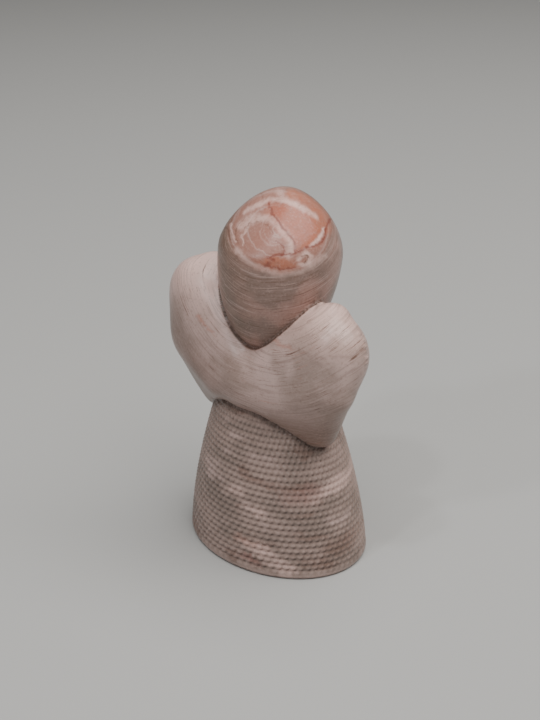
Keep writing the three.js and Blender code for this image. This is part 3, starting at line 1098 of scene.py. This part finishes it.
class Marbling:
    """The marbled casting compound, tinted as it was poured."""

    def __init__(self, palette: Palette, gloss: Gloss, head: HeadSizes) -> None:
        """Starts the material.

        Args:
            palette: the tints.
            gloss: the skin.
            head: the head's form, which tells the head from the wings.
        """
        self.palette = palette
        self.gloss = gloss
        self.head = head
        self.recipe = Recipe("marbled_casting")
        place = self.recipe.nodes.new("ShaderNodeTexCoord").outputs["Object"]
        self.place = self.recipe.vector("SCALE", place, 1 / MM)

    def tinted(self, base: Value, tint: Colour, share: Value, strength: float) -> Socket:
        """Lays a tint over a colour.

        Args:
            base: the colour so far.
            tint: the tint.
            share: where it is laid, from 0 to 1.
            strength: how much of it is laid there.

        Returns:
            The colour with the tint.
        """
        return self.recipe.mix(self.recipe.math("MULTIPLY", share, strength), base, tint)

    def streaks(self, flow: Flow) -> Socket:
        """Makes streaks that run round a point.

        Args:
            flow: the streaks' run.

        Returns:
            Noise around 0.5.
        """
        recipe = self.recipe
        wavy = recipe.warped(self.place, 0.04, 2.5)
        off = recipe.vector("SUBTRACT", wavy, flow.middle)
        around = recipe.vector("SCALE", off, flow.long)
        ring = recipe.math("MULTIPLY", recipe.vector("LENGTH", off), flow.fine)
        place = recipe.vector("ADD", around, recipe.joined(flow.seed, ring, ring))
        return recipe.noise(place, 1.0, detail=4.0, roughness=0.6).outputs["Fac"]

    def head_mask(self) -> Socket:
        """Tells the head from the wings.

        Returns:
            1 on the head, 0 on the wings.
        """
        recipe, head = self.recipe, self.head
        off = recipe.vector("SUBTRACT", self.place, (0.0, -head.forward / MM, head.level / MM))
        level = recipe.nodes.new("ShaderNodeVectorRotate")
        level.rotation_type = "X_AXIS"
        level.inputs["Angle"].default_value = -head.tilt
        recipe.feed(level.inputs["Vector"], off)
        sizes = (head.width / 2 / MM, head.width / 2 / MM, head.nape_drop / MM)
        reach = recipe.vector("LENGTH", recipe.vector("DIVIDE", level.outputs[0], sizes))
        return recipe.step(reach, 1.05, 1.02)

    def crown(self, base: Socket, behind: Socket) -> Socket:
        """Draws the pour's ground on the crown: rose with pale wisps, under the pools and strokes.

        Args:
            base: the head's colour.
            behind: 1 on the back of the head.

        Returns:
            The head's colour with the ground.
        """
        recipe = self.recipe
        off = recipe.vector("SUBTRACT", self.place, CROWN_MIDDLE)
        across = recipe.vector("DOT_PRODUCT", off, tuple(RIGHT))
        spot = recipe.joined(across, recipe.vector("DOT_PRODUCT", off, CROWN_UP))
        flowing = recipe.warped(recipe.warped(spot, 0.22, 1.3), 1.1, 0.22)
        oval = recipe.vector("LENGTH", recipe.vector("DIVIDE", flowing, CROWN_OVAL))
        inside = recipe.math("MULTIPLY", recipe.step(oval, 1.1, 0.9), behind)
        rings = recipe.noise(recipe.joined(recipe.math("MULTIPLY", oval, 9.0), 0.0), 1.0)
        colour = self.tinted(base, self.palette.rose, inside, 0.75)
        wisps = recipe.math("MULTIPLY", recipe.step(rings.outputs["Fac"], 0.5, 0.62), inside)
        return self.tinted(colour, self.palette.pale, wisps, 0.4)

    def behind(self, low: float, high: float) -> Socket:
        """Tells the back of the figurine from its front: rises from 0 to 1 between two depths."""
        depth = self.recipe.vector("DOT_PRODUCT", self.place, tuple(BACK))
        return self.recipe.step(depth, low, high)

    def dashes(self, streaks: Socket, seed: float, low: float, high: float) -> Socket:
        """Picks short dashes out of streaks.

        Args:
            streaks: the streaks.
            seed: shifts the places where dashes are.
            low: the streaks' value that gives no dash.
            high: the value that gives a whole one.

        Returns:
            1 on a dash, 0 beside it.
        """
        recipe = self.recipe
        place = recipe.vector("ADD", self.place, (seed, 0.0, 0.0))
        where = recipe.noise(place, 0.16, detail=2.0).outputs["Fac"]
        return recipe.math("MULTIPLY", recipe.step(streaks, low, high), recipe.step(where, 0.46, 0.62))

    def head_colour(self) -> Socket:
        """Colours the head: brownish pink with fine level streaks, its left side darkened with painted shade,
        and the pour's ground on the crown.

        Returns:
            The head's colour.
        """
        recipe, tints = self.recipe, self.palette
        streaks = self.streaks(HEAD_STREAKS)
        broad = recipe.noise(recipe.warped(self.place, 0.08, 6.0), 0.09, detail=2.0).outputs["Fac"]
        colour = recipe.mix(recipe.step(broad, 0.4, 0.62), tints.mauve, tints.pink)
        # Painted shade: the head darker and more olive towards its left.
        side = recipe.vector("DOT_PRODUCT", self.place, tuple(-RIGHT))
        colour = self.tinted(colour, tints.olive, recipe.step(side, 2.0, 14.0), 0.6)
        colour = self.tinted(colour, tints.pale, recipe.step(streaks, 0.54, 0.66), 0.5)
        colour = self.tinted(colour, tints.brown, recipe.step(streaks, 0.45, 0.34), 0.6)
        thread = self.dashes(self.streaks(HEAD_THREADS), 19.0, 0.42, 0.35)
        colour = self.tinted(colour, tints.brown, thread, 0.7)
        return self.crown(colour, self.behind(-7.0, -2.0))

    def wing_colour(self) -> Socket:
        """Colours the wings: paler pink with fine streaks round the head and short dark dashes, with painted
        light on their tops and painted shade towards their feet and on their lower left.

        Returns:
            The wings' colour.
        """
        recipe, tints = self.recipe, self.palette
        streaks = self.streaks(WING_STREAKS)
        finer = self.streaks(WING_THREADS)
        broad = recipe.noise(recipe.warped(self.place, 0.06, 8.0), 0.07, detail=2.0).outputs["Fac"]
        colour = recipe.mix(recipe.step(broad, 0.36, 0.62), tints.lilac, tints.pale)
        height = recipe.vector("DOT_PRODUCT", self.place, (0.0, 0.0, 1.0))
        # Painted light: the wings' tops paler towards white. Painted shade: their feet darker towards mauve.
        foot = recipe.step(height, 62.0, 40.0)
        colour = self.tinted(colour, tints.white, recipe.step(height, 62.0, 78.0), 0.55)
        colour = self.tinted(colour, tints.mauve, foot, 0.85)
        # Painted shade on the wings' lower left, away from the light.
        left = recipe.step(recipe.vector("DOT_PRODUCT", self.place, tuple(RIGHT)), -8.0, -26.0)
        low_left_shade = recipe.math("MULTIPLY", left, recipe.step(height, 74.0, 52.0))
        colour = self.tinted(colour, tints.brown, low_left_shade, 0.4)
        colour = self.tinted(colour, tints.mauve, recipe.step(streaks, 0.5, 0.38), 0.4)
        colour = self.tinted(colour, tints.pale, recipe.step(finer, 0.55, 0.68), 0.35)
        colour = self.tinted(colour, tints.salmon, self.dashes(streaks, 7.0, 0.6, 0.68), 0.35)
        colour = self.tinted(colour, tints.brown, self.dashes(finer, 31.0, 0.42, 0.35), 0.85)
        level = recipe.joined(recipe.math("MULTIPLY", height, 0.9), 0.0)
        rim = recipe.noise(level, 1.0).outputs["Fac"]
        rim = recipe.math("MULTIPLY", recipe.step(height, 50.0, 43.0), recipe.step(rim, 0.35, 0.6))
        return self.tinted(colour, tints.brown, rim, 0.45)

    def dress_colour(self) -> Socket:
        """Colours the dress: grey mauve with soft pale and brown patches.

        Returns:
            The dress's colour.
        """
        recipe, tints = self.recipe, self.palette
        wavy = recipe.warped(self.place, 0.05, 9.0)
        level = recipe.vector("MULTIPLY", wavy, (1.0, 1.0, 2.2))
        broad = recipe.noise(level, 0.06).outputs["Fac"]
        aside = recipe.vector("ADD", level, (40.0, 0.0, 0.0))
        patches = recipe.noise(aside, 0.075).outputs["Fac"]
        colour = recipe.mix(recipe.step(broad, 0.38, 0.62), tints.ash, tints.lilac)
        colour = self.tinted(colour, tints.pale, recipe.step(patches, 0.56, 0.7), 0.55)
        return self.tinted(colour, tints.brown, recipe.step(patches, 0.42, 0.3), 0.45)

    def knitted(self, base: Socket) -> Socket:
        """Colours the knit, with a painted highlight that makes its crests a little paler.

        Args:
            base: the colour of the head and the wings.

        Returns:
            The colour of the whole casting.
        """
        recipe = self.recipe
        knit = recipe.mark(Mark.KNIT).outputs["Fac"]
        colour = recipe.mix(knit, base, self.dress_colour())
        # Painted highlight on the knit's crests.
        crests = recipe.step(recipe.mark(Mark.PIT).outputs["Fac"], 0.06, 0.0)
        return self.tinted(colour, self.palette.pale, recipe.math("MULTIPLY", crests, knit), 0.2)

    def poured(self, base: Socket) -> Socket:
        """Lays the pools and strokes over a colour, unevenly.

        Args:
            base: the colour so far.

        Returns:
            The colour with the pools and strokes.
        """
        recipe = self.recipe
        pour = recipe.mark(Mark.POUR)
        uneven = recipe.noise(self.place, 0.7, detail=4.0, roughness=0.6).outputs["Fac"]
        uneven = recipe.math("ADD", recipe.math("MULTIPLY", recipe.step(uneven, 0.25, 0.6), 0.45), 0.55)
        share = recipe.math("MULTIPLY", pour.outputs["Alpha"], uneven)
        return recipe.mix(share, base, pour.outputs["Color"])

    def build(self) -> bpy.types.Material:
        """Puts the colours together, paints shade into the pits and joints, and adds the grain.

        Returns:
            The finished material.
        """
        recipe, tints, gloss = self.recipe, self.palette, self.gloss
        colour = recipe.mix(self.head_mask(), self.wing_colour(), self.head_colour())
        colour = self.poured(self.knitted(colour))
        # Painted shade in the knit's pits and in the joints round the wings, where some dark compound also
        # lies under the wings' edge.
        pits = recipe.step(recipe.mark(Mark.PIT).outputs["Fac"], 0.05, 0.9)
        colour = self.tinted(colour, tints.pit, pits, 0.85)
        grain = recipe.noise(self.place, gloss.grain, detail=4.0, roughness=0.6).outputs["Fac"]
        colour = self.tinted(colour, tints.pale, recipe.step(grain, 0.52, 0.7), 0.22)
        colour = self.tinted(colour, tints.brown, recipe.step(grain, 0.46, 0.3), 0.28)
        bump = recipe.nodes.new("ShaderNodeBump")
        bump.inputs["Strength"].default_value = gloss.grain_strength
        bump.inputs["Distance"].default_value = gloss.grain_height
        recipe.feed(bump.inputs["Height"], grain)
        shader = recipe.shader
        recipe.feed(shader.inputs["Base Color"], colour)
        recipe.feed(shader.inputs["Normal"], bump.outputs[0])
        shader.inputs["Roughness"].default_value = gloss.roughness
        shader.inputs["IOR"].default_value = gloss.refraction
        shader.inputs["Specular IOR Level"].default_value = gloss.shine
        return recipe.material


@dataclass(frozen=True)
class Lamp:
    """One soft square light: its place and side in metres, and its power in watts."""

    name: str
    place: tuple[float, float, float]
    side: float
    power: float
    colour: Colour


@dataclass(frozen=True)
class View:
    """The camera's bearing and drop in degrees, its place in metres, and its focal length in pixels."""

    bearing: float = 222
    drop: float = 26
    distance: float = 0.3019
    aside: float = 0.0023
    height: float = 0.202
    focal_pixels: float = 1242
    frame_pixels: float = 720
    sensor: float = 36
    nearest: float = 0.01


LAMPS = (
    Lamp("ceiling", (-0.32, -0.05, 1.05), 1.2, 20.5, (1.0, 0.98, 0.96)),
    Lamp("lamp", (0.0, 0.46, 0.9), 0.06, 1.3, (0.98, 0.98, 1.0)),
    Lamp("window", (0.06, 0.77, 0.65), 0.08, 1.5, (0.97, 0.98, 1.0)),
)


@dataclass
class Studio:
    """The pale floor, the soft lights and the camera."""

    view: View = View()
    lamps: tuple[Lamp, ...] = LAMPS
    aim: tuple[float, float, float] = (0, 0, 0.05)
    floor_size: float = 6
    floor_colour: Colour = (0.4, 0.4, 0.39)
    floor_roughness: float = 0.8
    air_colour: Colour = (0.8, 0.78, 0.74)
    air_strength: float = 0.11

    def floor(self) -> None:
        """Lays the plain pale floor."""
        bpy.ops.object.select_all(action="DESELECT")
        bpy.ops.mesh.primitive_plane_add(size=self.floor_size)
        floor = bpy.context.active_object
        floor.name = "floor"
        material = bpy.data.materials.new("floor")
        material.use_nodes = True
        shader = material.node_tree.nodes["Principled BSDF"]
        shader.inputs["Base Color"].default_value = (*self.floor_colour, 1)
        shader.inputs["Roughness"].default_value = self.floor_roughness
        floor.data.materials.append(material)

    def light(self, lamp: Lamp) -> None:
        """Hangs one light that faces the figurine.

        Args:
            lamp: the light.
        """
        data = bpy.data.lights.new(lamp.name, "AREA")
        data.size = lamp.side
        data.energy = lamp.power
        data.color = lamp.colour
        light = bpy.data.objects.new(lamp.name, data)
        bpy.context.scene.collection.objects.link(light)
        light.location = lamp.place
        ahead = Vector(self.aim) - light.location
        light.rotation_euler = ahead.to_track_quat("-Z", "Y").to_euler()

    def camera(self) -> None:
        """Sets the camera behind the figurine, above it and to its right, looking down."""
        view = self.view
        bearing, drop = math.radians(view.bearing), math.radians(view.drop)
        back = Vector((math.sin(bearing), -math.cos(bearing), 0))
        right = Vector((math.cos(bearing), math.sin(bearing), 0))
        data = bpy.data.cameras.new("camera")
        data.sensor_fit = "VERTICAL"
        data.sensor_height = view.sensor
        data.lens = view.focal_pixels * view.sensor / view.frame_pixels
        data.clip_start = view.nearest
        camera = bpy.data.objects.new("camera", data)
        bpy.context.scene.collection.objects.link(camera)
        camera.location = back * view.distance - right * view.aside + Vector((0, 0, view.height))
        forward = -back * math.cos(drop) + Vector((0, 0, -math.sin(drop)))
        camera.rotation_euler = forward.to_track_quat("-Z", "Y").to_euler()
        bpy.context.scene.camera = camera

    def build(self) -> None:
        """Sets up the whole studio."""
        self.camera()
        self.floor()
        for lamp in self.lamps:
            self.light(lamp)
        world = bpy.data.worlds.new("world")
        world.use_nodes = True
        background = world.node_tree.nodes["Background"]
        background.inputs["Color"].default_value = (*self.air_colour, 1)
        background.inputs["Strength"].default_value = self.air_strength
        bpy.context.scene.world = world
        LOG.info("studio: %d lights", len(self.lamps))


def main() -> None:
    """Builds the studio and the figurine."""
    logging.basicConfig(level=logging.INFO, format="%(name)s: %(message)s")
    Studio().build()
    dress, head, palette = Dress(), Head(), Palette()
    piece = Casting(dress, head, Wings(dress, head), palette).build()
    piece.data.materials.clear()
    piece.data.materials.append(Marbling(palette, Gloss(), head.sizes).build())


if __name__ == "__main__":
    main()
